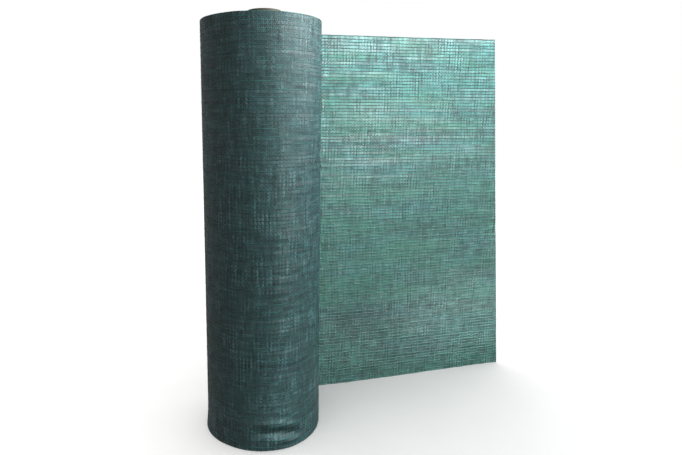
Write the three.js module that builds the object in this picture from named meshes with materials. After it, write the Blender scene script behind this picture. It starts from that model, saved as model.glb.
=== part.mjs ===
// A roll of green shade netting standing on its end: the wound cloth, the paper tube it is wound on
// and the loose end of the cloth, drawn off the back of the roll and standing on its edge.
// Millimetres, +Z up. Shapes are worked out from the middle of the roll's foot, with the front of the
// roll towards -Y. A bearing is in degrees, from +X towards +Y.
import * as THREE from 'three';

// Roll
const CLOTH_WIDTH = 1000;
const ROLL_RADIUS = 143;
const RIM_SOFTNESS = 2;
const ROLL_STEPS_ROUND = 72;
const ROLL_STEPS_UP = 26;
const FOOT_CROWDING = 1.7; // above 1 the steps up the roll are closest at its foot

// Paper tube
const TUBE_RADIUS = 41;
const TUBE_WALL = 3;
const TUBE_STANDS_PROUD = 25;
const TUBE_OFF_MIDDLE = 8; // uneven winding has left it this far to the right
const TUBE_STEPS_ROUND = 48;

// Loose end
const SHEET_THICKNESS = 1.6;
const LAP_STARTS_AT = 122;
const LAP_ENDS_AT = 98;
const LAP_STEPS = 6;
const SHEET_STEPS_OUT = 30;
const SHEET_STEPS_UP = 20;
const FOLDS_START_OVER = 0.3; // share of the loose length over which the folds grow from nothing
const FOLDS_STAND_OUT_TO = -112; // bearing
const HANDLE_SHARE = 1 / 3; // of the straight distance, for the curve's two handles

const PIECE_GAP = 0.4;

// Where the cut end stands, and the bearing in which the cloth runs there, at the floor and at the top.
const CUT_END = {
  floor: { x: 735, y: 327, bearing: 14 },
  top: { x: 653, y: 264, bearing: 7 },
};

// Ridges (out above 0) and dents in the last turns. A crease is at a height, as tall as its spread each
// way, and fades to nothing at its reach, in degrees, on both sides of the bearing that it faces.
const CREASES = [
  { height: 0, out: 4, spread: 26, facing: -158, reach: 42 },
  { height: 0, out: -5, spread: 34, facing: -8, reach: 55 },
  { height: 16, out: 2, spread: 8, facing: -84, reach: 48 },
  { height: 34, out: 4, spread: 9, facing: -76, reach: 50 },
  { height: 48, out: -5, spread: 10, facing: -72, reach: 46 },
  { height: 64, out: 3.5, spread: 11, facing: -80, reach: 56 },
  { height: 560, out: 1.6, spread: 90, facing: -40, reach: 70 },
  { height: 330, out: -1.8, spread: 120, facing: -25, reach: 60 },
];

// Folds that run along the loose end: each one's height at the roll and at the cut end, how tall it is
// each way and how far it stands out.
const FOLDS = [
  { heightAtRoll: 760, heightAtCut: 850, spread: 110, out: -7 },
  { heightAtRoll: 490, heightAtCut: 580, spread: 130, out: 15 },
  { heightAtRoll: 210, heightAtCut: 235, spread: 85, out: -12 },
  { heightAtRoll: 30, heightAtCut: 55, spread: 60, out: 8 },
];

function radians(degrees) {
  return THREE.MathUtils.degToRad(degrees);
}

function bump(distance, spread) {
  return Math.exp(-((distance / spread) ** 2));
}

function onBearing(bearing, radius, height = 0) {
  return new THREE.Vector3(radius * Math.cos(bearing), radius * Math.sin(bearing), height);
}

// A closed body from section loops of equal length, with its faces outwards where the loops run up its
// outer or front side. It closes on itself, or its two ends are capped.
function sweptSolid(loops, closesOnItself) {
  const around = loops[0].length;
  const index = [];
  const quad = (a, b, c, d) => index.push(a, b, c, a, c, d);
  const spans = closesOnItself ? loops.length : loops.length - 1;
  for (let i = 0; i < spans; i += 1) {
    const here = i * around;
    const next = ((i + 1) % loops.length) * around;
    for (let j = 0; j < around; j += 1) {
      const k = (j + 1) % around;
      quad(here + j, next + j, next + k, here + k);
    }
  }
  if (!closesOnItself) {
    const last = spans * around;
    for (let j = 0; j < around / 2 - 1; j += 1) {
      const across = around - 1 - j;
      quad(j, j + 1, across - 1, across);
      quad(last + j, last + across, last + across - 1, last + j + 1);
    }
  }
  const positions = loops.flat().flatMap((point) => point.toArray());
  const geometry = new THREE.BufferGeometry();
  geometry.setAttribute('position', new THREE.Float32BufferAttribute(positions, 3));
  geometry.setIndex(index);
  geometry.computeVertexNormals();
  return geometry;
}

function creaseAt(bearing, height) {
  let out = 0;
  for (const crease of CREASES) {
    const turned = Math.abs(THREE.MathUtils.euclideanModulo(bearing - radians(crease.facing) + Math.PI,
      2 * Math.PI) - Math.PI);
    const faded = Math.max(0, Math.cos((turned / radians(crease.reach)) * (Math.PI / 2)));
    const inReach = turned < radians(crease.reach) ? faded ** 2 : 0;
    out += crease.out * inReach * bump(height - crease.height, crease.spread);
  }
  return out;
}

// One upright section of the wound cloth, from the bore's foot outwards, up, and back down the bore.
function rollSection(bearing) {
  const tube = new THREE.Vector3(TUBE_OFF_MIDDLE, 0, 0);
  const bore = (height) => onBearing(bearing, TUBE_RADIUS + PIECE_GAP, height).add(tube);
  const outside = (height, inset) => onBearing(
    bearing, ROLL_RADIUS + creaseAt(bearing, height) - inset, height);
  const side = [];
  for (let row = 0; row <= ROLL_STEPS_UP; row += 1) {
    const share = (row / ROLL_STEPS_UP) ** FOOT_CROWDING;
    side.push(outside(RIM_SOFTNESS + share * (CLOTH_WIDTH - 2 * RIM_SOFTNESS), 0));
  }
  return [
    bore(0),
    outside(0, RIM_SOFTNESS),
    ...side,
    outside(CLOTH_WIDTH, RIM_SOFTNESS),
    bore(CLOTH_WIDTH),
  ];
}

function nettingRoll() {
  const sections = [];
  for (let i = 0; i < ROLL_STEPS_ROUND; i += 1) {
    sections.push(rollSection((i / ROLL_STEPS_ROUND) * 2 * Math.PI));
  }
  return sweptSolid(sections, true);
}

function paperTube() {
  const top = CLOTH_WIDTH + TUBE_STANDS_PROUD;
  const corners = [
    [TUBE_RADIUS - TUBE_WALL, 0],
    [TUBE_RADIUS, 0],
    [TUBE_RADIUS, top],
    [TUBE_RADIUS - TUBE_WALL, top],
  ];
  const sections = [];
  for (let i = 0; i < TUBE_STEPS_ROUND; i += 1) {
    const bearing = (i / TUBE_STEPS_ROUND) * 2 * Math.PI;
    sections.push(corners.map(([radius, height]) => onBearing(bearing, radius, height)));
  }
  return sweptSolid(sections, true);
}

// The line that the loose cloth follows, seen from above, from where it leaves the roll to its cut end.
function looseLine(end) {
  const lapRadius = ROLL_RADIUS + PIECE_GAP + SHEET_THICKNESS / 2;
  const leaving = onBearing(radians(LAP_ENDS_AT), lapRadius);
  const cut = new THREE.Vector3(end.x, end.y, 0);
  const handle = leaving.distanceTo(cut) * HANDLE_SHARE;
  return new THREE.CubicBezierCurve3(
    leaving,
    leaving.clone().add(onBearing(radians(LAP_ENDS_AT - 90), handle)),
    cut.clone().sub(onBearing(radians(end.bearing), handle)),
    cut,
  );
}

function foldAt(share, height) {
  const grown = THREE.MathUtils.smoothstep(share, 0, FOLDS_START_OVER);
  let out = 0;
  for (const fold of FOLDS) {
    const middle = THREE.MathUtils.lerp(fold.heightAtRoll, fold.heightAtCut, share);
    out += fold.out * bump(height - middle, fold.spread);
  }
  return out * grown;
}

// One upright section of the loose end: up its front and down its back. The cloth's middle at a height is
// given by middleAt, and towards its front by frontAt, a level unit vector.
function sheetSection(middleAt, frontAt) {
  const front = [];
  const back = [];
  for (let row = 0; row <= SHEET_STEPS_UP; row += 1) {
    const height = (row / SHEET_STEPS_UP) * CLOTH_WIDTH;
    const middle = middleAt(height);
    const half = frontAt(height).multiplyScalar(SHEET_THICKNESS / 2);
    front.push(middle.clone().add(half));
    back.unshift(middle.clone().sub(half));
  }
  return [...front, ...back];
}

function looseEnd() {
  const sections = [];
  const lapRadius = ROLL_RADIUS + PIECE_GAP + SHEET_THICKNESS / 2;
  for (let i = 0; i < LAP_STEPS; i += 1) {
    const bearing = radians(THREE.MathUtils.lerp(LAP_STARTS_AT, LAP_ENDS_AT, i / LAP_STEPS));
    sections.push(sheetSection(
      (height) => onBearing(bearing, lapRadius, height),
      () => onBearing(bearing + Math.PI, 1),
    ));
  }
  const floorLine = looseLine(CUT_END.floor);
  const topLine = looseLine(CUT_END.top);
  for (let i = 0; i <= SHEET_STEPS_OUT; i += 1) {
    const share = i / SHEET_STEPS_OUT;
    const middleAt = (height) => floorLine.getPoint(share)
      .lerp(topLine.getPoint(share), height / CLOTH_WIDTH)
      .add(onBearing(radians(FOLDS_STAND_OUT_TO), foldAt(share, height)))
      .setZ(height);
    const frontAt = (height) => {
      const run = floorLine.getTangent(share).lerp(topLine.getTangent(share), height / CLOTH_WIDTH);
      return new THREE.Vector3(run.y, -run.x, 0).normalize();
    };
    sections.push(sheetSection(middleAt, frontAt));
  }
  return sweptSolid(sections, false);
}

function piece(name, geometry, color, roughness) {
  const material = new THREE.MeshStandardMaterial({ color, roughness, metalness: 0 });
  const mesh = new THREE.Mesh(geometry, material);
  mesh.name = name;
  return mesh;
}

const roll = piece('netting_roll', nettingRoll(), 0x2f5a55, 0.5);
const tube = piece('core_tube', paperTube(), 0x9a7a52, 0.85);
const sheet = piece('loose_end', looseEnd(), 0x4f9184, 0.5);
tube.position.x = TUBE_OFF_MIDDLE;

const shadeNetting = new THREE.Group();
shadeNetting.add(roll, tube, sheet);

// The origin is on the floor, under the middle of the whole object's box.
const middle = new THREE.Box3().setFromObject(shadeNetting).getCenter(new THREE.Vector3());
shadeNetting.position.set(-middle.x, -middle.y, 0);

export default shadeNetting;
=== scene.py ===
# %% [markdown]
# A roll of green shade netting
#
# Shade netting is knitted from thin plastic tape, hung over plants and fences, and sold wound on a
# paper tube. This lesson dresses a plain solid model of one standing roll, with the loose end of the
# cloth drawn off its back. The solid model is loaded first and is never moved or changed. Everything
# made here is set in the same place, in metres.

# %% Load the plain model
from math import cos, pi, radians, sin

import bpy
import numpy as np
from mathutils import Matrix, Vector


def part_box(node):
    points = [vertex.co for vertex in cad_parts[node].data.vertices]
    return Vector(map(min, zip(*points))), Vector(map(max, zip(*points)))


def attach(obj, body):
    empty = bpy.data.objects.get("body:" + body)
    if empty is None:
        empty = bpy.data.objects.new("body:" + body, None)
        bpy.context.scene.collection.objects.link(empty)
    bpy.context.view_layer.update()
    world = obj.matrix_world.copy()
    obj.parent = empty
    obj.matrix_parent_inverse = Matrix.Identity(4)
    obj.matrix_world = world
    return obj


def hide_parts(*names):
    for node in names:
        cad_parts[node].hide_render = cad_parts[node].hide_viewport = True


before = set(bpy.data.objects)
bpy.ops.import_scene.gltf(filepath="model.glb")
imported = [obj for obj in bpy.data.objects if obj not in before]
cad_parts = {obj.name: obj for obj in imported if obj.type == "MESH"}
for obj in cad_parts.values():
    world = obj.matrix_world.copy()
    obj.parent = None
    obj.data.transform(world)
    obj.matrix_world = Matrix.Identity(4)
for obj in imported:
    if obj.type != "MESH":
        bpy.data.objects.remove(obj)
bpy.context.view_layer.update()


def rounded(values):
    return [round(x, 3) for x in values]


print("solids:", sorted(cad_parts))

# %% [markdown]
# Sizes
#
# The pieces made below have to lie exactly on the solids, so the sizes of the solids are written down
# once, here. The roll's middle is found from the paper tube, which stands a little to the right of it,
# because the cloth was wound unevenly. A bearing is an angle seen from above, counted from the right
# (+X) towards the back (+Y). Lists of many sizes are tables: one row of column names, then the rows.

# %% Sizes of the roll
MM = 0.001
CLOTH_WIDTH = 1000 * MM
ROLL_RADIUS = 143 * MM
TUBE_RADIUS = 41 * MM
TUBE_WALL = 3 * MM
TUBE_STANDS_PROUD = 25 * MM
TUBE_OFF_MIDDLE = 8 * MM
SHEET_THICKNESS = 1.6 * MM
PIECE_GAP = 0.4 * MM
LAP_RADIUS = ROLL_RADIUS + PIECE_GAP + SHEET_THICKNESS / 2
LAP_STARTS_AT = radians(122)
LAP_ENDS_AT = radians(98)

tube_low, tube_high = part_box("core_tube")
roll_middle = Vector((
    (tube_low[0] + tube_high[0]) / 2 - TUBE_OFF_MIDDLE,
    (tube_low[1] + tube_high[1]) / 2,
    0,
))


def table(columns, *rows):
    return [dict(zip(columns.split(), row)) for row in rows]


print("middle of the roll:", rounded(roll_middle))

# %% [markdown]
# The camera
#
# The photograph was taken close by, from a little below the roll's top, with a wide view. The numbers
# come from fitting a camera to the roll's sides, its foot and the edges of the loose end. The photo is
# cropped, and the shift says how far its middle lies from where the lens pointed.

# %% Set up the camera
PHOTO_WIDTH = 682
FOCAL_LENGTH_IN_PIXELS = 530
SENSOR_WIDTH = 36
CAMERA_FROM_ROLL = Vector((0.0658, -1.2939, 0.7713))
LOOKS_DOWN_BY = radians(7.907)
PHOTO_SHIFT = (0.0763, -0.0492)

camera_lens = bpy.data.cameras.new("camera")
camera_lens.sensor_width = SENSOR_WIDTH
camera_lens.lens = FOCAL_LENGTH_IN_PIXELS / PHOTO_WIDTH * SENSOR_WIDTH
camera_lens.shift_x, camera_lens.shift_y = PHOTO_SHIFT
camera = bpy.data.objects.new("camera", camera_lens)
camera.location = roll_middle + CAMERA_FROM_ROLL
camera.rotation_euler = (pi / 2 - LOOKS_DOWN_BY, 0, 0)
bpy.context.scene.collection.objects.link(camera)
bpy.context.scene.camera = camera
bpy.context.scene.view_settings.view_transform = "Standard"
print("lens", round(camera_lens.lens, 2), "mm at", rounded(camera.location))

# %% [markdown]
# Small helpers
#
# Blender's operators act on what is selected, so each piece starts from an empty selection. A finished
# piece keeps its object at the origin, with its place held by its mesh. Some helpers stand for what is
# done in edit mode again and again, and two read and write all corners of a mesh at once.


# %% Helpers for selecting, editing and reading meshes
def deselect_all():
    if bpy.context.object and bpy.context.object.mode != "OBJECT":
        bpy.ops.object.mode_set(mode="OBJECT")
    bpy.ops.object.select_all(action="DESELECT")


def select_only(piece):
    deselect_all()
    piece.select_set(True)
    bpy.context.view_layer.objects.active = piece


def new_piece(name):
    """Names the object just added and moves its place, turn and size into its mesh."""
    piece = bpy.context.object
    piece.name = name
    piece.data.name = name
    select_only(piece)
    bpy.ops.object.transform_apply(location=True, rotation=True, scale=True)
    return piece


def edit_all():
    """Starts editing the active piece, with all of it selected."""
    bpy.ops.object.mode_set(mode="EDIT")
    bpy.ops.mesh.select_all(action="SELECT")


def select_parts(piece, kind, chosen):
    """While editing, selects the edges or the faces that are chosen, and nothing else."""
    bpy.ops.mesh.select_mode(type=kind)
    bpy.ops.mesh.select_all(action="DESELECT")
    bpy.ops.object.mode_set(mode="OBJECT")
    for part in piece.data.edges if kind == "EDGE" else piece.data.polygons:
        part.select = chosen(part)
    bpy.ops.object.mode_set(mode="EDIT")


def finish_edit(face_outwards=False):
    if face_outwards:
        bpy.ops.mesh.select_all(action="SELECT")
        bpy.ops.mesh.normals_make_consistent(inside=False)
    bpy.ops.object.mode_set(mode="OBJECT")


def corners_of(piece):
    places = np.empty(len(piece.data.vertices) * 3)
    piece.data.vertices.foreach_get("co", places)
    return places.reshape(-1, 3)


def set_corners(piece, places):
    piece.data.vertices.foreach_set("co", places.ravel())
    piece.data.update()


def report(piece):
    triangles = sum(len(face.vertices) - 2 for face in piece.data.polygons)
    print(piece.name, "has", triangles, "triangles and measures", rounded(piece.dimensions))


# %% [markdown]
# Soft hills and hollows
#
# Nothing on a real roll is perfectly even. This helper gives a smooth random height for any place on a
# flat map, between -1 and 1, with hills about one unit apart. It is seeded, so each run gives the same
# roll, and it works on a whole mesh at a time.


# %% Helper for smooth random heights
HILLS_EACH_WAY = 251


def ease(share):
    """From 0 to 1, slowly at both ends."""
    share = np.clip(share, 0, 1)
    return share * share * (3 - 2 * share)


def hills(across, up, seed):
    peaks = np.random.default_rng(seed).uniform(-1, 1, (HILLS_EACH_WAY, HILLS_EACH_WAY))
    left = np.floor(across).astype(int)
    low = np.floor(up).astype(int)
    to_right = ease(across - left)
    to_top = ease(up - low)

    def peak(i, j):
        return peaks[(left + i) % HILLS_EACH_WAY, (low + j) % HILLS_EACH_WAY]

    below = peak(0, 0) * (1 - to_right) + peak(1, 0) * to_right
    above = peak(0, 1) * (1 - to_right) + peak(1, 1) * to_right
    return below * (1 - to_top) + above * to_top


# %% [markdown]
# Creases in the last turns
#
# Near its foot the roll has bright ridges and a dark hollow, where the last turns have slipped and
# buckled. Each crease has a height, a spread up and down, and a bearing that it faces, and it fades out
# towards its reach on both sides. The first list says the same as the solid model does, so the cloth
# made here follows the solid. Three things are the cloth's alone. Fine creases lie on the large ones and
# further up the roll. All creases fall a little from the middle to the right, as they do in the photo.
# Ripples are short level waves on the roll's right side, where the last turn isn't quite tight.


# %% Creases and ripples of the wound cloth
CREASES = table(
    "height out spread facing reach",
    (0, 4, 26, -158, 42),
    (0, -5, 34, -8, 55),
    (16, 2, 8, -84, 48),
    (34, 4, 9, -76, 50),
    (48, -5, 10, -72, 46),
    (64, 3.5, 11, -80, 56),
    (560, 1.6, 90, -40, 70),
    (330, -1.8, 120, -25, 60),
)
FINE_CREASES = table(
    "height out spread facing reach",
    (9, 1.2, 4, -80, 40),
    (26, 2.2, 7, -72, 44),
    (41, -2.6, 7, -72, 40),
    (71, 1.5, 5, -76, 46),
    (340, 0.6, 5, -68, 22),
    (470, 0.8, 5, -78, 24),
    (512, 1.6, 9, -56, 46),
)
CREASES_FALL = 70 * MM
FALL_STARTS_AT = radians(-90)
RIPPLE_HEIGHT = 0.9 * MM
RIPPLE_TALL = 11 * MM
RIPPLE_LONG = radians(24)
RIPPLES_FACE = radians(-42)
RIPPLES_REACH = radians(40)
RIPPLES_AT_HEIGHT = 470 * MM
RIPPLES_SPREAD = 330 * MM


def bump(distance, spread):
    return np.exp(-((distance / spread) ** 2))


def turned_from(start, bearing):
    """How far a bearing is turned from another, up to half a turn each way."""
    return (bearing - start + pi) % (2 * pi) - pi


def window(bearing, facing, reach):
    """1 where a bearing is the faced one, falling to 0 at the reach on both sides."""
    turned = np.abs(turned_from(facing, bearing))
    return np.where(turned < reach, np.cos(turned / reach * pi / 2), 0) ** 2


def crease_at(bearing, height):
    past_start = turned_from(FALL_STARTS_AT, bearing)
    height = height + CREASES_FALL * (1 - np.cos(np.clip(past_start, 0, pi / 2)))
    out = np.zeros(np.shape(bearing))
    for crease in CREASES + FINE_CREASES:
        faced = window(bearing, radians(crease["facing"]), radians(crease["reach"]))
        tall = bump(height - crease["height"] * MM, crease["spread"] * MM)
        out = out + crease["out"] * MM * faced * tall
    return out


def ripple_at(bearing, height):
    waves = hills(bearing / RIPPLE_LONG, height / RIPPLE_TALL, seed=11)
    right_side = window(bearing, RIPPLES_FACE, RIPPLES_REACH)
    middle_height = bump(height - RIPPLES_AT_HEIGHT, RIPPLES_SPREAD)
    return RIPPLE_HEIGHT * waves * right_side * middle_height


print("creases:", len(CREASES), "fine ones:", len(FINE_CREASES))

# %% [markdown]
# The wound cloth
#
# About 180 turns of cloth are wound on the tube. Their outsides can't be seen one by one, but their
# edges can: they make fine rings on both ends of the roll. The body is spun from an upright outline,
# like clay on a wheel. It is a rectangle whose foot and top are divided finely, and every other division
# is pushed in, which leaves a ring for every three or four turns. The side lies a little deeper than the
# solid's, because the last turn of real netting is laid over it.

# %% The outline of the wound cloth
BODY_BELOW_SURFACE = 1.8 * MM
BODY_RADIUS = ROLL_RADIUS - BODY_BELOW_SURFACE
BORE_RADIUS = TUBE_RADIUS + PIECE_GAP
FACE_CUTS = 99
SIDE_CUTS = 89
BORE_CUTS = 9

deselect_all()
bpy.ops.mesh.primitive_plane_add(size=1, location=(0, 0, 0), rotation=(pi / 2, 0, 0))
wound_turns = new_piece("wound_turns")
wide = BODY_RADIUS - BORE_RADIUS
edit_all()
bpy.ops.transform.resize(value=(wide, 1, CLOTH_WIDTH))
bpy.ops.transform.translate(value=(BORE_RADIUS + wide / 2, 0, CLOTH_WIDTH / 2))
bpy.ops.mesh.delete(type="ONLY_FACE")


def divide_edges(piece, cuts, chosen):
    """Divides the edges whose middle is chosen."""
    def middle_chosen(edge):
        first, second = (piece.data.vertices[number].co for number in edge.vertices)
        return chosen((first + second) / 2)

    select_parts(piece, "EDGE", middle_chosen)
    bpy.ops.mesh.subdivide(number_cuts=cuts)


NEAR = 0.01 * MM
divide_edges(wound_turns, SIDE_CUTS, lambda middle: middle.x > BODY_RADIUS - NEAR)
divide_edges(wound_turns, BORE_CUTS, lambda middle: middle.x < BORE_RADIUS + NEAR)
divide_edges(wound_turns, FACE_CUTS, lambda middle: middle.z > CLOTH_WIDTH - NEAR)
divide_edges(wound_turns, FACE_CUTS, lambda middle: middle.z < NEAR)
finish_edit()
print("the outline has", len(wound_turns.data.vertices), "points")

# %% [markdown]
# Crowding and rings
#
# Most creases are near the foot, so the divisions of the side are moved closer together there. Then the
# rings are pressed into both ends: every other point goes inwards.

# %% Crowd the side's points at the foot and press in the rings
FOOT_CROWDING = 2.0
RIM_SOFTNESS = 2 * MM
RING_DEPTH = 1.3 * MM

outline = corners_of(wound_turns)
on_side = outline[:, 0] > BODY_RADIUS - NEAR
share = outline[on_side, 2] / CLOTH_WIDTH
outline[on_side, 2] = RIM_SOFTNESS + share ** FOOT_CROWDING * (CLOTH_WIDTH - 2 * RIM_SOFTNESS)
on_face = (outline[:, 0] > BORE_RADIUS + NEAR) & (outline[:, 0] < BODY_RADIUS - NEAR)
ring = np.round((outline[:, 0] - BORE_RADIUS) / wide * (FACE_CUTS + 1)).astype(int)
pressed = on_face & (ring % 2 == 1)
towards_middle = np.where(outline[:, 2] < CLOTH_WIDTH / 2, 1, -1)
outline[pressed, 2] += RING_DEPTH * towards_middle[pressed]
set_corners(wound_turns, outline)
print("rings pressed in:", int(pressed.sum()))

# %% [markdown]
# Spinning the outline
#
# The spin turns the outline once round the upright axis. Its last copy falls on its first, so doubled
# points are merged and the faces are turned outwards.

# %% Spin the outline into a body
STEPS_ROUND = 96

edit_all()
bpy.ops.mesh.select_mode(type="VERT")
bpy.ops.mesh.spin(steps=STEPS_ROUND, angle=2 * pi, center=(0, 0, 0), axis=(0, 0, 1))
bpy.ops.mesh.select_all(action="SELECT")
bpy.ops.mesh.remove_doubles(threshold=NEAR)
finish_edit(face_outwards=True)
report(wound_turns)

# %% [markdown]
# Making it hand-wound
#
# Three moves of the mesh's points make the spun body look wound and not turned on a lathe. The rings
# slide off the middle towards the tube, the turns stand a little higher or lower here and there, and the
# creases of the last turns are pushed in.

# %% Uneven turns and creases on the body
UNEVEN_TURNS = 2.2 * MM
HILLS_ROUND = 3
HILLS_OUTWARDS = 45
HILLS_START = 20
FADES_INWARDS = 4
NEAR_END = 5 * MM

body = corners_of(wound_turns)
body_radius = np.hypot(body[:, 0], body[:, 1])
body_bearing = np.arctan2(body[:, 1], body[:, 0])
body_height = body[:, 2].copy()
outwards = np.clip((body_radius - BORE_RADIUS) / wide, 0, 1)

moved_out = crease_at(body_bearing, body_height) + ripple_at(body_bearing, body_height)
new_radius = body_radius + moved_out * outwards ** FADES_INWARDS
right = np.cos(body_bearing)
back = np.sin(body_bearing)
uneven = hills(
    right * HILLS_ROUND + HILLS_START,
    back * HILLS_ROUND + outwards * HILLS_OUTWARDS + HILLS_START,
    seed=5,
)
inner_part = (outwards > 0.01) & (outwards < 0.97)
on_end = inner_part & ((body_height < NEAR_END) | (body_height > CLOTH_WIDTH - NEAR_END))
inward = np.where(body_height < CLOTH_WIDTH / 2, 1, -1)
body[:, 0] = right * new_radius + TUBE_OFF_MIDDLE * (1 - outwards)
body[:, 1] = back * new_radius
body[on_end, 2] += (inward * UNEVEN_TURNS * (0.5 + 0.5 * uneven))[on_end]
body[:, :2] += np.array(roll_middle[:2])
set_corners(wound_turns, body)
select_only(wound_turns)
bpy.ops.object.shade_smooth_by_angle(angle=radians(50))
print("uneven turns: up to", round(UNEVEN_TURNS / MM, 1), "mm")

# %% [markdown]
# One cloth, flat and in place
#
# The last turn and the loose end are one cloth. It is easiest to knit it flat, as a map, and then to lay
# it where it goes. A place on the flat cloth has a distance along the cloth, counted from the line where
# it leaves the roll, and a height. Below nought the cloth is wound on the roll, above nought it is loose.
# This cell gives the loose part: it follows a smooth curve at the floor and another at the top, and the
# folds that run along it stand out from the surface between them.

# %% Lines of the loose end
CUT_AT_FLOOR = (735 * MM, 327 * MM, radians(14))
CUT_AT_TOP = (653 * MM, 264 * MM, radians(7))
HANDLE_SHARE = 1 / 3
FOLDS_START_OVER = 0.3
FOLDS_STAND_OUT_TO = radians(-112)
FOLDS = table(
    "height_at_roll height_at_cut spread out",
    (760, 850, 110, -7),
    (490, 580, 130, 15),
    (210, 235, 85, -12),
    (30, 55, 60, 8),
)


def on_bearing(bearing, radius):
    return np.array([radius * cos(bearing), radius * sin(bearing)])


def loose_line(right, back, bearing):
    """The four points that steer the curve from the roll to the cut end's place and bearing."""
    leaving = on_bearing(LAP_ENDS_AT, LAP_RADIUS)
    end = np.array([right, back])
    handle = np.linalg.norm(end - leaving) * HANDLE_SHARE
    first_handle = leaving + on_bearing(LAP_ENDS_AT - pi / 2, handle)
    second_handle = end - on_bearing(bearing, handle)
    return [leaving, first_handle, second_handle, end]


def line_place(line, share):
    back = 1 - share
    pulls = [back ** 3, 3 * back ** 2 * share, 3 * back * share ** 2, share ** 3]
    return sum(pull[..., None] * point for pull, point in zip(pulls, line))


def line_run(line, share):
    """Which way the curve runs, as a level vector of length 1."""
    back = 1 - share
    steps = [line[1] - line[0], line[2] - line[1], line[3] - line[2]]
    pulls = [back ** 2, 2 * back * share, share ** 2]
    run = sum(pull[..., None] * step for pull, step in zip(pulls, steps))
    return run / np.linalg.norm(run, axis=-1, keepdims=True)


floor_line = loose_line(*CUT_AT_FLOOR)
top_line = loose_line(*CUT_AT_TOP)
LINE_STEPS = 400
line_shares = np.linspace(0, 1, LINE_STEPS + 1)


def lengths_along(line):
    steps = np.linalg.norm(np.diff(line_place(line, line_shares), axis=0), axis=1)
    return np.concatenate([[0], np.cumsum(steps)])


floor_lengths = lengths_along(floor_line)
top_lengths = lengths_along(top_line)
LOOSE_AT_FLOOR = floor_lengths[-1]
LOOSE_AT_TOP = top_lengths[-1]
print("loose cloth at the floor and at the top:", rounded([LOOSE_AT_FLOOR, LOOSE_AT_TOP]), "m")

# %% [markdown]
# Laying the cloth in place
#
# The next functions take every point of the flat cloth to its real place. The lift is how far a point
# stands off the middle of the cloth, towards the outside of the roll. The same rule holds on the roll and
# on the loose end, so the net runs on from one to the other without a break. A few faint slanted wrinkles
# near the cut end are added to the folds.

# %% Where a place on the flat cloth goes
LAST_TURN_RADIUS = ROLL_RADIUS - 0.3 * MM
TUCKED_RADIUS = ROLL_RADIUS - 0.9 * MM
OFF_THE_LAP_OVER = radians(40)
TUCKED_FROM = radians(415)
TUCKED_OVER = radians(38)
WRINKLES = table(
    "along height out",
    (610, 400, 3.0),
    (650, 385, -2.5),
    (690, 395, 3.0),
)
WRINKLE_SLANT = radians(48)
WRINKLE_SPREAD = 12 * MM
WRINKLE_REACH = 75 * MM
GUESSES = 6


def wound_radius(bearing):
    """The radius of the last turn, which starts over the lap and ends tucked under it."""
    off_the_lap = ease((bearing - LAP_STARTS_AT) / OFF_THE_LAP_OVER)
    tucked = ease((bearing - TUCKED_FROM) / TUCKED_OVER)
    outer = LAP_RADIUS + (LAST_TURN_RADIUS - LAP_RADIUS) * off_the_lap
    return outer + (TUCKED_RADIUS - LAST_TURN_RADIUS) * tucked


def wound_place(along, height, lift):
    bearing = LAP_ENDS_AT - along / LAP_RADIUS
    radius = wound_radius(bearing) + crease_at(bearing, height) + ripple_at(bearing, height) + lift
    return np.stack([np.cos(bearing) * radius, np.sin(bearing) * radius, height], axis=1)


def wrinkle_at(along, height):
    out = 0
    for wrinkle in WRINKLES:
        right = along - wrinkle["along"] * MM
        up = height - wrinkle["height"] * MM
        with_it = right * cos(WRINKLE_SLANT) + up * sin(WRINKLE_SLANT)
        across_it = up * cos(WRINKLE_SLANT) - right * sin(WRINKLE_SLANT)
        faded = bump(across_it, WRINKLE_SPREAD) * bump(with_it, WRINKLE_REACH)
        out = out + wrinkle["out"] * MM * faded
    return out


def fold_at(share, height):
    out = 0
    for fold in FOLDS:
        middle = fold["height_at_roll"] * (1 - share) + fold["height_at_cut"] * share
        out = out + fold["out"] * MM * bump(height - middle * MM, fold["spread"] * MM)
    return out * ease(share / FOLDS_START_OVER)


def share_along(along, height):
    """How far along its curves a place on the loose end is, from 0 to 1, guessed closer and closer."""
    up = height / CLOTH_WIDTH
    whole = LOOSE_AT_FLOOR * (1 - up) + LOOSE_AT_TOP * up
    share = along / whole
    for _ in range(GUESSES):
        at_floor = np.interp(share, line_shares, floor_lengths)
        at_top = np.interp(share, line_shares, top_lengths)
        share = share + (along - at_floor * (1 - up) - at_top * up) / whole
    return np.clip(share, 0, 1)


def loose_place(along, height, lift):
    up = (height / CLOTH_WIDTH)[:, None]
    share = share_along(along, height)
    level = line_place(floor_line, share) * (1 - up) + line_place(top_line, share) * up
    run = line_run(floor_line, share) * (1 - up) + line_run(top_line, share) * up
    run = run / np.linalg.norm(run, axis=1, keepdims=True)
    outside = np.stack([-run[:, 1], run[:, 0]], axis=1)
    level = level + on_bearing(FOLDS_STAND_OUT_TO, 1) * fold_at(share, height)[:, None]
    level = level + outside * (lift + wrinkle_at(along, height))[:, None]
    return np.column_stack([level, height])


def lay_in_place(flat):
    """Takes points (along, height, lift) of the flat cloth to where they are on the standing roll."""
    along, height, lift = flat.T
    wound = wound_place(np.minimum(along, 0), height, lift)
    loose = loose_place(np.maximum(along, 0), height, lift)
    return np.where(along[:, None] < 0, wound, loose) + np.array(roll_middle)


# %% [markdown]
# How the netting is knitted
#
# Two kinds of plastic yarn make the net. Chains of small loops run along the cloth, 8.4 mm apart, and
# between each two neighbouring chains a flat tape is laid in to and fro, once for every loop. One stroke
# to and fro is modelled here as a flat four-sided tube: a circle of four points is squashed and extruded
# twice. It has only sixteen triangles, because each piece of net repeats it eleven thousand times.

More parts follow.
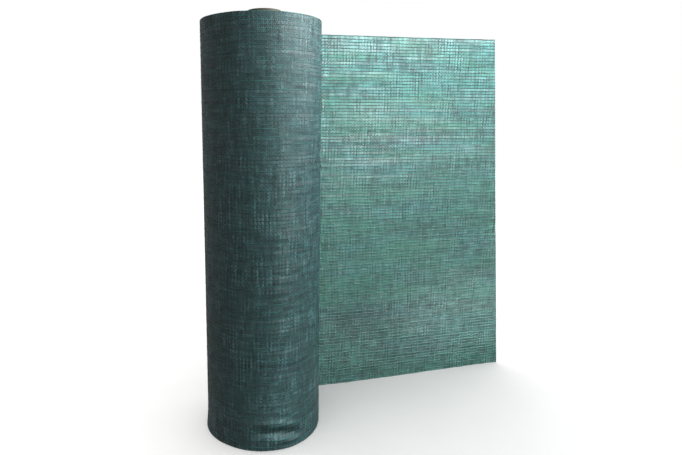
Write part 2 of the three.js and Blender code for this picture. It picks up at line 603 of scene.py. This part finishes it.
# %% Model one stroke of the tape, to and fro
COURSE = 4.35 * MM
CHAIN_COUNT = 119
EDGE_MARGIN = 1.8 * MM
WALE = (CLOTH_WIDTH - 2 * EDGE_MARGIN) / (CHAIN_COUNT - 1)
TAPE_WIDTH = 6.1 * MM
TAPE_THICKNESS = 0.40 * MM
PAST_THE_CHAIN = 0.4 * MM
RUNS_UP = (pi / 2, 0, 0)
RUNS_ALONG = (0, pi / 2, 0)


def yarn_section(name, turned, width, thickness_share, start):
    """Four points round the start of a yarn, left in edit mode to be extruded."""
    deselect_all()
    bpy.ops.mesh.primitive_circle_add(vertices=4, radius=width / 2, fill_type="NOTHING", rotation=turned)
    piece = new_piece(name)
    edit_all()
    bpy.ops.transform.resize(value=(1, 1, thickness_share))
    bpy.ops.transform.translate(value=(*start, 0))
    return piece


def extrude(along, up=0):
    bpy.ops.mesh.extrude_region_move(TRANSFORM_OT_translate={"value": (along, up, 0)})


def tape_stroke(name, first_course):
    start = (first_course * COURSE, EDGE_MARGIN - PAST_THE_CHAIN)
    piece = yarn_section(name, RUNS_UP, TAPE_WIDTH, TAPE_THICKNESS / TAPE_WIDTH, start)
    rise = WALE + 2 * PAST_THE_CHAIN
    extrude(COURSE, rise)
    extrude(COURSE, -rise)
    finish_edit()
    return piece


# %% [markdown]
# One loop of the chain
#
# A knitted chain is a row of loops, each pulled through the last. At the size of this net it reads as a
# cord that is wide where the loops lie side by side and narrow where they cross. Again four points are
# enough for its section, extruded from wide to narrow and back.

# %% Model two loops of a chain
CHAIN_WIDE = 2.8 * MM
CHAIN_NARROW = 2.2 * MM
CHAIN_THICKNESS_SHARE = 0.6
CHAIN_PRESSED_FLAT = 0.30


def chain_loops(name, first_course, thickness_share):
    start = (first_course * COURSE, EDGE_MARGIN)
    piece = yarn_section(name, RUNS_ALONG, CHAIN_WIDE, thickness_share, start)
    narrowing = CHAIN_NARROW / CHAIN_WIDE
    extrude(COURSE)
    bpy.ops.transform.resize(value=(1, narrowing, narrowing))
    extrude(COURSE)
    bpy.ops.transform.resize(value=(1, 1 / narrowing, 1 / narrowing))
    finish_edit()
    return piece


# %% [markdown]
# Repeating the knit
#
# An Array modifier repeats the stroke along the cloth and joins each copy to the next. A second one
# repeats the whole row upwards. Both are applied, because the points are moved one by one afterwards.
# The ends of all yarns are closed, so that each is a solid thing.


# %% Repeat a piece along and up the cloth
def repeat(piece, count, step, joined):
    array = piece.modifiers.new("repeat", "ARRAY")
    array.use_relative_offset = False
    array.use_constant_offset = True
    array.constant_offset_displace = step
    array.count = count
    array.use_merge_vertices = joined
    array.merge_threshold = NEAR
    bpy.ops.object.modifier_apply(modifier=array.name)


def close_ends(piece):
    bpy.ops.object.mode_set(mode="EDIT")
    bpy.ops.mesh.select_mode(type="VERT")
    bpy.ops.mesh.select_all(action="DESELECT")
    bpy.ops.mesh.select_non_manifold(
        extend=False, use_wire=False, use_multi_face=False, use_non_contiguous=False
    )
    bpy.ops.mesh.fill_holes(sides=0)
    finish_edit(face_outwards=True)


def cut_along(piece):
    """Cuts the flat cloth off along the line of the cut end."""
    edit_all()
    foot = (LOOSE_AT_FLOOR, 0, 0)
    across = (CLOTH_WIDTH, LOOSE_AT_FLOOR - LOOSE_AT_TOP, 0)
    bpy.ops.mesh.bisect(plane_co=foot, plane_no=across, clear_outer=True, threshold=NEAR / 10)
    finish_edit()


# %% [markdown]
# No two strokes alike
#
# A real tape is folded, twisted and pulled askew by its chain, which makes the net glitter in spots. So
# every stroke gets its own width, tilt and shift. It also gets a shade, kept with its faces for the
# material: in the photo pale and dark strokes take turns, in patches, and draw a fine grid. The random
# numbers belong to places on the flat cloth, so they fit where one piece of net runs on into the next.

# %% Loosen the tapes and the chains
TONE_NAME = "tone"
TONE_MIDDLE = 0.5
TONE_ALONE = 0.08
TONE_TAKES_TURNS = 0.36
TURNS_RUN_ON = {"strokes": 7, "rows": 5}
TONE_OF_COLUMN = 0.22
COLUMN_ROWS = 3
TONE_OF_ROW = 0.14
ROW_STROKES = 6
TAPE_ROWS = CHAIN_COUNT - 1
WIDTH_VARIES = 0.12
TILT = 0.42 * MM
TILT_ALONE = 0.6
TILT_WITH_NEIGHBOURS = 0.8
NEIGHBOUR_ROWS = 4
ASKEW = 0.35 * MM
UNEVEN_LIFT = 0.15 * MM
ROW_LEANS = 0.55 * MM
LEAN_RUNS_ON = 160 * MM
CHAIN_WANDERS = 0.3 * MM
WANDER_LOOPS = 3
ROWS_APART = 7.0
CHAIN_SINKS = 0.25 * MM
SINK_RUNS_ON = 45 * MM


def row_numbers(flat, rows):
    """The points of a repeated piece come row by row, so their order says which row each is in."""
    return np.repeat(np.arange(rows), len(flat) // rows)


def keep_tone(piece, nearest_row):
    """A shade for the faces of each stroke. Pale and dark strokes take turns over a few rows."""
    centre = np.empty(len(piece.data.polygons) * 3)
    piece.data.polygons.foreach_get("center", centre)
    along, up, _ = centre.reshape(-1, 3).T
    stroke = np.floor(along / COURSE)
    row = nearest_row((up - EDGE_MARGIN) / WALE)
    patches = hills(stroke / TURNS_RUN_ON["strokes"], row / TURNS_RUN_ON["rows"], seed=42)
    takes_turns = np.where(stroke % 2 == 0, 1, -1) * patches
    columns = TONE_OF_COLUMN * hills(stroke, row / COLUMN_ROWS, seed=43)
    rows = TONE_OF_ROW * hills(stroke / ROW_STROKES, row, seed=44)
    tone = TONE_MIDDLE + TONE_ALONE * hills(stroke, row, seed=41) + TONE_TAKES_TURNS * takes_turns
    tone += columns + rows
    piece.data.attributes.new(TONE_NAME, "FLOAT", "FACE").data.foreach_set("value", tone)


def loosen_tapes(piece):
    flat = corners_of(piece)
    row = row_numbers(flat, TAPE_ROWS)
    at_top = (flat[:, 1] - EDGE_MARGIN) / WALE - row > 0.5
    pairs = flat[:, 0] / (2 * COURSE)
    station = np.where(at_top, 2 * np.round(pairs - 0.5) + 1, 2 * np.round(pairs))
    from_middle = flat[:, 0] - station * COURSE
    width, tilt, askew, lift = [hills(station, row, seed) for seed in (21, 22, 23, 24)]
    tilt = TILT_ALONE * tilt + TILT_WITH_NEIGHBOURS * hills(station, row / NEIGHBOUR_ROWS, seed=26)
    loosened = flat.copy()
    loosened[:, 0] = station * COURSE + from_middle * (1 + WIDTH_VARIES * width) + ASKEW * askew
    loosened[:, 2] += TILT * tilt * from_middle / (TAPE_WIDTH / 2) + UNEVEN_LIFT * lift
    lean = ROW_LEANS * hills(flat[:, 0] / LEAN_RUNS_ON, row, seed=25)
    loosened[:, 2] += np.where(at_top, lean, -lean)
    keep_tone(piece, np.floor)
    set_corners(piece, loosened)


def loosen_chains(piece):
    flat = corners_of(piece)
    row = row_numbers(flat, CHAIN_COUNT)
    station = np.round(flat[:, 0] / COURSE)
    loosened = flat.copy()
    loosened[:, 0] += CHAIN_WANDERS * hills(station, row, seed=31)
    loosened[:, 1] += CHAIN_WANDERS * hills(station / WANDER_LOOPS, row * ROWS_APART, seed=32)
    loosened[:, 2] += CHAIN_SINKS * hills(flat[:, 0] / SINK_RUNS_ON, row, seed=33)
    keep_tone(piece, np.round)
    set_corners(piece, loosened)


print("chains:", CHAIN_COUNT, "spaced", round(WALE / MM, 2), "mm apart")

# %% [markdown]
# A map for the materials
#
# Before the cloth is laid in place, each point's flat position is kept as a UV map: along the cloth
# and up it, both from 0 to 1. Materials can then draw streaks that follow the cloth round the roll and
# through the folds.

# %% Keep the flat positions as a UV map
MAP_NAME = "OFBake"
MAP_FROM = -0.94
MAP_LENGTH = 1.78


def corner_owners(piece):
    """Which point each corner of each face is at."""
    owner = np.empty(len(piece.data.loops), dtype=int)
    piece.data.loops.foreach_get("vertex_index", owner)
    return owner


def keep_flat_map(piece, along, height):
    flat_map = piece.data.uv_layers.new(name=MAP_NAME)
    places = np.column_stack([(along - MAP_FROM) / MAP_LENGTH, height / CLOTH_WIDTH])
    flat_map.data.foreach_set("uv", places.ravel())


# %% [markdown]
# Knitting the two pieces of net
#
# The last turn goes once round the roll, from the line where the lap begins to just under the lap. The
# loose end begins with the lap, which lies on the roll, and goes on to the cut end. Each is knitted
# flat, loosened, cut off if need be, mapped and laid in place. The chains of the last turn are thinner,
# because the winding presses them flat.

# %% Knit, loosen and lay the cloth
LAST_TURN_FROM = -210
LAP_FROM = -14
LOOSE_END_TO = 184


def knit(piece, loosen, rows, courses, cut_off):
    repeat(piece, (courses[1] - courses[0]) // 2, (2 * COURSE, 0, 0), joined=True)
    repeat(piece, rows, (0, WALE, 0), joined=False)
    loosen(piece)
    if cut_off:
        cut_along(piece)
    close_ends(piece)
    flat = corners_of(piece)
    along, height, _ = flat[corner_owners(piece)].T
    keep_flat_map(piece, along, height)
    set_corners(piece, lay_in_place(flat))
    bpy.ops.object.shade_smooth_by_angle(angle=radians(60))
    report(piece)


def knit_net(name, courses, chain_thickness, cut_off):
    """The tapes and the chains of one piece of net."""
    tapes = tape_stroke(name + "_tapes", courses[0])
    knit(tapes, loosen_tapes, TAPE_ROWS, courses, cut_off)
    chains = chain_loops(name + "_chains", courses[0], chain_thickness)
    knit(chains, loosen_chains, CHAIN_COUNT, courses, cut_off)
    return tapes, chains


last_turn = (LAST_TURN_FROM, LAP_FROM)
loose = (LAP_FROM, LOOSE_END_TO)
last_turn_tapes, last_turn_chains = knit_net("last_turn", last_turn, CHAIN_PRESSED_FLAT, cut_off=False)
loose_end_tapes, loose_end_chains = knit_net("loose_end", loose, CHAIN_THICKNESS_SHARE, cut_off=True)

# %% [markdown]
# The paper tube
#
# The cloth is wound on a tube of spiral-wound grey-brown paper board, which stands 25 mm proud at the
# top. A solid cylinder is the start. Its two end faces are inset by the wall's thickness, the inner
# faces are taken away, and their edges are bridged, which makes the bore. A small bevel takes the
# sharpness off the rims, because paper board is crushed a little where it is sawn.

# %% Model the tube
TUBE_SIDES = 96
RIM_BEVEL = 0.7 * MM
TUBE_TOP = CLOTH_WIDTH + TUBE_STANDS_PROUD
tube_middle = roll_middle + Vector((TUBE_OFF_MIDDLE, 0, 0))

deselect_all()
bpy.ops.mesh.primitive_cylinder_add(
    vertices=TUBE_SIDES, radius=TUBE_RADIUS, depth=TUBE_TOP, end_fill_type="NGON",
    location=tube_middle + Vector((0, 0, TUBE_TOP / 2)),
)
paper_tube = new_piece("paper_tube")


def is_cap(face):
    return len(face.vertices) == TUBE_SIDES


edit_all()
select_parts(paper_tube, "FACE", is_cap)
bpy.ops.mesh.inset(thickness=TUBE_WALL)
select_parts(paper_tube, "FACE", is_cap)
bpy.ops.mesh.delete(type="ONLY_FACE")
bpy.ops.mesh.select_mode(type="EDGE")
bpy.ops.mesh.select_all(action="DESELECT")
bpy.ops.mesh.select_non_manifold(extend=False)
bpy.ops.mesh.bridge_edge_loops()
finish_edit(face_outwards=True)

bevel = paper_tube.modifiers.new("soft rims", "BEVEL")
bevel.width = RIM_BEVEL
bevel.segments = 2
bevel.limit_method = "ANGLE"
bevel.angle_limit = radians(50)
bpy.ops.object.modifier_apply(modifier=bevel.name)
bpy.ops.object.shade_smooth_by_angle(angle=radians(40))
report(paper_tube)

# %% [markdown]
# Helpers for materials
#
# A material is a chain of small steps called nodes. These helpers add nodes and join them, so that each
# recipe below reads from the pattern to the surface. The room at the end is made with them too.


# %% Helpers for materials
ONE_WAVE_A_UNIT = pi / 10
PLASTIC_IOR = 1.5


class Recipe:
    def __init__(self, name, kept_in="materials", output="OutputMaterial"):
        self.result = getattr(bpy.data, kept_in).new(name)
        self.result.use_nodes = True
        self.tree = self.result.node_tree
        self.tree.nodes.clear()
        self.output = self.add(output)

    def add(self, kind, inputs=None, **settings):
        """Adds a node, named as in Blender but without ShaderNode, and gives it its inputs."""
        node = self.tree.nodes.new("ShaderNode" + kind)
        for setting, value in settings.items():
            setattr(node, setting, value)
        for socket, value in (inputs or {}).items():
            if isinstance(value, bpy.types.NodeSocket):
                self.tree.links.new(value, node.inputs[socket])
            else:
                node.inputs[socket].default_value = value
        return node

    def cloth_place(self, along, up):
        """The place on the flat cloth, for a pattern this large along and up the cloth."""
        flat_map = self.add("UVMap", uv_map=MAP_NAME)
        scale = (MAP_LENGTH / along, CLOTH_WIDTH / up, 1)
        return self.add("Mapping", {"Vector": flat_map.outputs[0], "Scale": scale}).outputs[0]

    def here(self):
        return self.add("TexCoord").outputs["Object"]

    def place_from(self, origin):
        """The place in the room, counted from an origin."""
        return self.add("Mapping", {"Vector": self.here(), "Location": tuple(-origin)}).outputs[0]

    def waves(self, spacing, direction, **others):
        """Even waves across the cloth: along it for X, and up it for Y."""
        inputs = {"Vector": self.cloth_place(spacing, spacing), "Scale": ONE_WAVE_A_UNIT, **others}
        return self.add("TexWave", inputs, bands_direction=direction).outputs["Fac"]

    def noise(self, place, scale=1.0, detail=2.0):
        return self.add("TexNoise", {"Vector": place, "Scale": scale, "Detail": detail}).outputs["Fac"]

    def ramp(self, value, *stops):
        """Colours at places from 0 to 1. Where there is a third, it comes last."""
        node = self.add("ValToRGB", {"Fac": value})
        for number, (place, colour) in enumerate(stops):
            if number < 2:
                stop = node.color_ramp.elements[number]
                stop.position = place
            else:
                stop = node.color_ramp.elements.new(place)
            stop.color = (*colour, 1)
        return node.outputs["Color"]

    def levels(self, value, low, high, start=0.0, end=1.0):
        """What runs from start to end is made to run from low to high."""
        inputs = {"Value": value, "From Min": start, "From Max": end, "To Min": low, "To Max": high}
        return self.add("MapRange", inputs).outputs[0]

    def darkened(self, colour, by):
        inputs = {0: 1.0, 6: colour, 7: by}
        return self.add("Mix", inputs, data_type="RGBA", blend_type="MULTIPLY").outputs[2]

    def math(self, operation, first, second):
        return self.add("Math", {0: first, 1: second}, operation=operation).outputs[0]

    def relief(self, height, depth):
        return self.add("Bump", {"Height": height, "Distance": depth, "Strength": 1.0}).outputs[0]

    def surface(self, shader):
        self.tree.links.new(shader.outputs[0], self.output.inputs["Surface"])
        return self.result

    def mixed_surface(self, share, first, second):
        return self.surface(self.add("MixShader", {0: share, 1: first.outputs[0], 2: second.outputs[0]}))

    def plain_surface(self, inputs):
        return self.surface(self.add("BsdfPrincipled", inputs))


def dress(piece, material):
    piece.data.materials.clear()
    piece.data.materials.append(material)


# %% [markdown]
# The laid-in tape
#
# The tape is thin drawn plastic. Some light is thrown back from its slick face, and some goes through it
# and comes out greener. Two shaders are mixed for that: a glossy plastic one and a translucent one. The
# colour and the gloss follow the shade of each stroke and fine streaks along it, because the plastic is
# stretched unevenly when it is drawn. Less light comes through close to a chain, where the tapes lie
# over one another. Wide soft patches are bluer or greener. The light through the tape also has light and
# shade painted into it: it is lighter and bluer high up and darker and greener low down, and it is lighter
# or darker in long soft bands. The wound net has dark turns behind it, so it gets a version of its own,
# with less light coming through and less contrast.

# %% Material of the laid-in tape
TAPE_DULL = (0.018, 0.030, 0.033)
TAPE_MIDDLING = (0.042, 0.080, 0.087)
TAPE_FRESH = (0.130, 0.235, 0.255)
SEEN_THROUGH_BLUISH = (0.48, 0.96, 0.90)
SEEN_THROUGH_GREENISH = (0.38, 0.93, 0.68)
THICK_PASSES = (0.3, 0.3, 0.3)
THIN_PASSES = (1, 1, 1)
MIDDLE_TONE = 0.35
STREAKS = (0.5 * MM, 9 * MM)
STREAKS_SHOW = 0.3
STREAK_DEPTH = 0.06 * MM
DULL_ROUGHNESS = 0.56
FRESH_ROUGHNESS = 0.32
PATCHES = (190 * MM, 60 * MM)
# Painted light and shade: light through the tape is bluer and lighter high up, greener and darker low
# down.
PAINTED_SHADE_LOW_DOWN = 0.3
# Painted light and shade: long soft bands where the light through the tape is lighter or darker.
PAINTED_SHADE_BANDS = (520 * MM, 55 * MM)
PAINTED_BAND_DIM = 0.1
PAINTED_BAND_BRIGHT = 1.9
PASSES_AT_CHAIN = 0.5
CLEAR_OF_CHAIN = 0.45


def tape_recipe(name, contrast, light_through):
    recipe = Recipe(name)
    stroke_tone = recipe.add("Attribute", attribute_name=TONE_NAME).outputs["Fac"]
    streaks = recipe.noise(recipe.cloth_place(*STREAKS))
    strokes = recipe.levels(stroke_tone, MIDDLE_TONE * (1 - contrast), MIDDLE_TONE * (1 + contrast))
    tone = recipe.math("ADD", strokes, recipe.math("MULTIPLY", streaks, STREAKS_SHOW))
    plastic = recipe.add("BsdfPrincipled", {
        "Base Color": recipe.ramp(tone, (0.2, TAPE_DULL), (0.9, TAPE_FRESH), (0.55, TAPE_MIDDLING)),
        "Roughness": recipe.levels(tone, DULL_ROUGHNESS, FRESH_ROUGHNESS),
        "IOR": PLASTIC_IOR,
        "Normal": recipe.relief(streaks, STREAK_DEPTH),
    })
    rows = recipe.waves(WALE, "Y", **{"Phase Offset": -2 * pi * EDGE_MARGIN / WALE})
    passes = recipe.math("MULTIPLY", tone, recipe.levels(rows, PASSES_AT_CHAIN, 1.0, end=CLEAR_OF_CHAIN))
    # Painted light and shade in long soft bands, on top of the darkening near the chains.
    painted_bands = recipe.noise(recipe.cloth_place(*PAINTED_SHADE_BANDS), detail=1.0)
    passes = recipe.math("MULTIPLY", passes, recipe.levels(painted_bands, PAINTED_BAND_DIM, PAINTED_BAND_BRIGHT))
    thickness = recipe.ramp(passes, (0.0, THICK_PASSES), (0.6, THIN_PASSES))
    patches = recipe.noise(recipe.cloth_place(*PATCHES), detail=1.0)
    # Random patches, with painted light and shade by height: bluer high up, greener and darker low down.
    height = recipe.add("SeparateXYZ", {0: recipe.cloth_place(1, CLOTH_WIDTH)}).outputs[1]
    greener = recipe.math("SUBTRACT", patches, recipe.math("MULTIPLY", height, PAINTED_SHADE_LOW_DOWN))
    seen_through = recipe.ramp(greener, (0.15, SEEN_THROUGH_BLUISH), (0.5, SEEN_THROUGH_GREENISH))
    glow = recipe.add("BsdfTranslucent", {"Color": recipe.darkened(seen_through, by=thickness)})
    return recipe.mixed_surface(light_through, plastic, glow)


wound_tape = tape_recipe("laid-in tape, wound", contrast=0.72, light_through=0.28)
loose_tape = tape_recipe("laid-in tape, loose", contrast=1.0, light_through=0.45)
dress(last_turn_tapes, wound_tape)
dress(loose_end_tapes, loose_tape)
print("dressed in", wound_tape.name, "and", loose_tape.name)

# %% [markdown]
# The knitted chain
#
# The chains are round yarn of the same plastic, a little darker. The bump draws the loops that the mesh
# leaves out: one rise for every course along the chain.

# %% Material of the chains
CHAIN_DARK = (0.010, 0.036, 0.035)
CHAIN_LIGHT = (0.028, 0.100, 0.096)
CHAIN_SHINE = 0.3
CHAIN_PATCHES = (40 * MM, 7 * MM)
LOOP_DEPTH = 0.35 * MM

recipe = Recipe("chain yarn")
loops = recipe.waves(COURSE, "X", Distortion=0.6)
yarn_tone = recipe.noise(recipe.cloth_place(*CHAIN_PATCHES))
chain_yarn = recipe.plain_surface({
    "Base Color": recipe.ramp(yarn_tone, (0.35, CHAIN_DARK), (0.65, CHAIN_LIGHT)),
    "Roughness": recipe.levels(yarn_tone, low=0.42, high=0.58),
    "IOR": PLASTIC_IOR,
    "Specular IOR Level": CHAIN_SHINE,
    "Normal": recipe.relief(loops, LOOP_DEPTH),
})
dress(last_turn_chains, chain_yarn)
dress(loose_end_chains, chain_yarn)
print("dressed in", chain_yarn.name)

# %% [markdown]
# The turns below
#
# Through the holes of the last turn the turns below it show. Little light gets there, so the side's
# colours are painted very dark: painted shade. Their side gets a flat map like the net's, and a material
# that draws chains and tapes on it as colour and bump. The two ends get another: fine rings for the turns'
# edges, a little wider apart than the turns are, and lighter where an edge is worn.

# %% Map and materials of the turns below
JUMP_OF_THE_MAP = 400 * MM

body_points = corners_of(wound_turns) - np.array(roll_middle)
owner = corner_owners(wound_turns)
turned = (np.arctan2(body_points[:, 1], body_points[:, 0]) - LAP_ENDS_AT) % (2 * pi)
body_along = -turned[owner] * LAP_RADIUS
for face in wound_turns.data.polygons:
    corners = slice(face.loop_start, face.loop_start + face.loop_total)
    if np.ptp(body_along[corners]) > JUMP_OF_THE_MAP:
        wrapped = body_along[corners]
        wrapped[wrapped > -JUMP_OF_THE_MAP] -= 2 * pi * LAP_RADIUS
keep_flat_map(wound_turns, body_along, body_points[owner, 2])

# Painted shade: the side of the turns below is coloured very dark, because little light gets there.
BELOW_PAINTED_SHADE_DARK = (0.004, 0.012, 0.012)
BELOW_PAINTED_SHADE_LIGHT = (0.016, 0.048, 0.046)
BELOW_STROKES = (2.2 * MM, 9 * MM)
BELOW_DEPTH = 0.6 * MM

recipe = Recipe("turns below")
strokes = recipe.noise(recipe.cloth_place(*BELOW_STROKES), detail=1.0)
weave = recipe.math("MULTIPLY", recipe.waves(WALE, "Y", Distortion=0.4), strokes)
turns_below = recipe.plain_surface({
    "Base Color": recipe.ramp(weave, (0.1, BELOW_PAINTED_SHADE_DARK), (0.6, BELOW_PAINTED_SHADE_LIGHT)),
    "Roughness": recipe.levels(strokes, low=0.42, high=0.6),
    "Normal": recipe.relief(weave, BELOW_DEPTH),
})

EDGE_DARK = (0.010, 0.032, 0.031)
EDGE_LIGHT = (0.042, 0.125, 0.115)
EDGE_SPACING = 0.85 * MM
EDGE_DEPTH = 0.5 * MM
LIES_LEVEL = 0.35

recipe = Recipe("edges of the turns")
ring_inputs = {
    "Vector": recipe.place_from(roll_middle),
    "Scale": ONE_WAVE_A_UNIT / EDGE_SPACING,
    "Distortion": 1.5,
    "Detail Scale": 0.4,
}
rings = recipe.add("TexWave", ring_inputs, wave_type="RINGS", rings_direction="Z").outputs["Fac"]
worn = recipe.noise(recipe.here(), scale=90, detail=4.0)
edge_tone = recipe.math("MULTIPLY", rings, worn)
turn_edges = recipe.plain_surface({
    "Base Color": recipe.ramp(edge_tone, (0.12, EDGE_DARK), (0.55, EDGE_LIGHT)),
    "Roughness": recipe.levels(worn, low=0.38, high=0.6),
    "Normal": recipe.relief(rings, EDGE_DEPTH),
})
dress(wound_turns, turns_below)
wound_turns.data.materials.append(turn_edges)
for face in wound_turns.data.polygons:
    face.material_index = int(abs(face.normal.z) > LIES_LEVEL)
print("dressed in", turns_below.name, "and", turn_edges.name)

# %% [markdown]
# Paper board
#
# The tube is wound from strips of paper on a slant, which leaves a fine seam that climbs round it. The
# seam is drawn from the angle round the tube's axis added to the height. Fibres and stains come from two
# sizes of noise. All of the board's colours are painted darker than plain board: painted shade.

# %% Material of the paper tube
# Painted shade: these colours are darker than the board's own grey-brown.
BOARD_PAINTED_SHADE_DARK = (0.022, 0.020, 0.014)
BOARD_PAINTED_SHADE_PALE = (0.062, 0.057, 0.042)
SEAM_CLIMB = 95 * MM
SEAM_WIDTH_SHARE = 0.03
SEAM_SHADE = 0.55
BOARD_DEPTH = 0.15 * MM

recipe = Recipe("paper board")
parts = recipe.add("SeparateXYZ", {0: recipe.place_from(tube_middle)}).outputs
angle = recipe.math("ARCTAN2", parts[1], parts[0])
turns = recipe.math("DIVIDE", angle, 2 * pi)
climb = recipe.math("ADD", turns, recipe.math("DIVIDE", parts[2], SEAM_CLIMB))
seam = recipe.math("LESS_THAN", recipe.math("FRACT", climb, 0.0), SEAM_WIDTH_SHARE)
fibres = recipe.noise(recipe.here(), scale=900, detail=3.0)
stains = recipe.noise(recipe.here(), scale=35, detail=3.0)
board_tone = recipe.math("ADD", recipe.math("MULTIPLY", fibres, 0.5), recipe.math("MULTIPLY", stains, 0.5))
board_colour_with_painted_shade = recipe.ramp(board_tone, (0.35, BOARD_PAINTED_SHADE_DARK), (0.65, BOARD_PAINTED_SHADE_PALE))
paper_board = recipe.plain_surface({
    "Base Color": recipe.darkened(board_colour_with_painted_shade, by=recipe.levels(seam, 1.0, SEAM_SHADE)),
    "Roughness": recipe.levels(fibres, low=0.75, high=0.95),
    "Normal": recipe.relief(recipe.math("SUBTRACT", fibres, seam), BOARD_DEPTH),
})
dress(paper_tube, paper_board)
print("dressed in", paper_board.name)

# %% [markdown]
# Floor
#
# The photograph shows the roll on plain white. The floor here is one wide pale sheet.

# %% Floor
FLOOR_SIZE = 14
FLOOR_DIM = (0.86, 0.86, 0.86)
FLOOR_BRIGHT = (0.90, 0.90, 0.90)

deselect_all()
bpy.ops.mesh.primitive_grid_add(x_subdivisions=4, y_subdivisions=4, size=FLOOR_SIZE, location=(0, 0, 0))
floor = new_piece("floor")
recipe = Recipe("pale floor")
cloudy = recipe.ramp(recipe.noise(recipe.here(), scale=3), (0.3, FLOOR_DIM), (0.7, FLOOR_BRIGHT))
dress(floor, recipe.plain_surface({"Base Color": cloudy, "Roughness": 0.9}))
print("floor:", FLOOR_SIZE, "m wide")

# %% [markdown]
# Lamps
#
# In the photograph the light comes from the right and from above, and the roll's left side is dark. One
# light can't suit a dark roll and a thin net that glows from behind, so each lamp is told which pieces
# it lights. Four soft lamps, at the right and near the top, shape the roll. Two in front of the loose
# end give it a pale sheen, a long narrow one draws the bright line along its lowest fold, and two behind
# it make it glow. A narrow beam from high above grazes the foot and brings out its creases. The floor
# has a wide light of its own, which keeps it white, and it throws no light back at the roll.


# %% Lamps
def set_of(name, members):
    collection = bpy.data.collections.new(name)
    for member in members:
        collection.objects.link(member)
    return collection


NEUTRAL = (1, 1, 1)
COOL = (0.76, 1, 1)


def lamp(name, kind, lights_up, place, aimed_at, **settings):
    """A lamp that is aimed at a place and lights one set of pieces only."""
    light = bpy.data.lights.new(name, kind)
    for setting, value in settings.items():
        setattr(light, setting, value)
    holder = bpy.data.objects.new(name, light)
    holder.location = place
    holder.rotation_euler = (Vector(aimed_at) - Vector(place)).to_track_quat("-Z", "Y").to_euler()
    bpy.context.scene.collection.objects.link(holder)
    holder.light_linking.receiver_collection = lights_up
    return holder


def soft_lamp(name, lights_up, place, aimed_at, size, power, height=None, color=NEUTRAL):
    shape = {"shape": "RECTANGLE", "size": size, "size_y": height or size}
    holder = lamp(name, "AREA", lights_up, place, aimed_at, energy=power, color=color, **shape)
    holder.visible_camera = False
    return holder


loose_net = set_of("the loose end", [loose_end_tapes, loose_end_chains])
roll_pieces = [wound_turns, last_turn_tapes, last_turn_chains, paper_tube]
roll = set_of("the roll", roll_pieces)
whole = set_of("the roll and its loose end", [*roll_pieces, loose_end_tapes, loose_end_chains])
for row in table(
    "name lights_up place aimed_at size power color",
    ("far to the right", whole, (2.6, -0.75, 1.5), (0, 0, 0.6), 0.9, 33, COOL),
    ("beside the roll", whole, (1.6, 0.2, 1.3), (-0.2, 0, 0.6), 0.6, 14, NEUTRAL),
    ("low at the right", roll, (1.5, -1.7, 0.4), (0, 0, 0.4), 0.6, 23, COOL),
    ("near the top", whole, (0.22, -0.38, 1.34), (-0.2, -0.1, 0.95), 0.32, 12, NEUTRAL),
    ("in front", loose_net, (0.90, -1.14, 1.28), (0.1, 0.13, 1.0), 0.3, 34, NEUTRAL),
    ("at the top corner", loose_net, (0.50, -0.08, 1.12), (0.40, 0.17, 1.0), 0.2, 1.6, NEUTRAL),
    ("beside the loose end", loose_net, (1.5, 0.25, 0.7), (0.2, 0.15, 0.35), 0.3, 14, NEUTRAL),
    ("behind the loose end", whole, (0.2, 0.7, 1.6), (0.1, 0.15, 0.9), 0.4, 31, NEUTRAL),
):
    soft_lamp(**row)
fold_lamp = soft_lamp(
    "at the fold", loose_net, (0.40, 0.08, 0.175), (0.375, 0.18, 0.16), size=0.36, height=0.02, power=0.38
)
fold_lamp.rotation_euler.rotate_axis("Z", radians(10))
lamp(
    "beam on the foot", "SPOT", roll, (-0.11, -0.60, 1.3), (-0.25, -0.225, 0.045), energy=110,
    spot_size=radians(6), spot_blend=1.0, shadow_soft_size=0.05,
)
only_floor = set_of("the floor", [floor])
lamp(
    "light for the floor alone", "SUN", only_floor, (0, 0, 0), (0, 0, -1), energy=2.5,
    angle=radians(150),
)
floor.visible_diffuse = False
floor.visible_glossy = False
floor.visible_transmission = False
print("lamps:", len(bpy.data.lights))

# %% [markdown]
# The white room
#
# To the camera the room is plain white. To the cloth it is a weak light, so that the dark side stays
# dark, and it is stronger from above than from below, as under a bright ceiling. Two backgrounds are
# mixed for this: one for what the camera sees, the other for everything else.

# %% The room
ROOM_LIGHT_BELOW = 0.24
ROOM_LIGHT_ABOVE = 0.60
ROOM_TINT = (1, 0.98, 0.97, 1)
WHITE = (1, 1, 1, 1)

recipe = Recipe("white room", kept_in="worlds", output="OutputWorld")
looking = recipe.add("TexCoord").outputs["Generated"]
upwards = recipe.add("SeparateXYZ", {0: looking}).outputs["Z"]
strength = recipe.levels(upwards, ROOM_LIGHT_BELOW, ROOM_LIGHT_ABOVE, start=-1)
weak_room = recipe.add("Background", {"Color": ROOM_TINT, "Strength": strength})
seen_room = recipe.add("Background", {"Color": WHITE})
for_camera = recipe.add("LightPath").outputs["Is Camera Ray"]
room = recipe.mixed_surface(for_camera, weak_room, seen_room)
bpy.context.scene.world = room
print("room light:", ROOM_LIGHT_BELOW, "to", ROOM_LIGHT_ABOVE)

# %% [markdown]
# What each piece stands for
#
# Every piece rides on the model's one body. The wound turns and the net on them stand for the solid
# roll, the loose net for the solid sheet, and the tube for the solid tube.

pieces = [wound_turns, last_turn_tapes, last_turn_chains, loose_end_tapes, loose_end_chains]
for piece in pieces:
    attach(piece, "root")
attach(paper_tube, "root")
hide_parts("netting_roll")
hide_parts("loose_end")
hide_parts("core_tube")
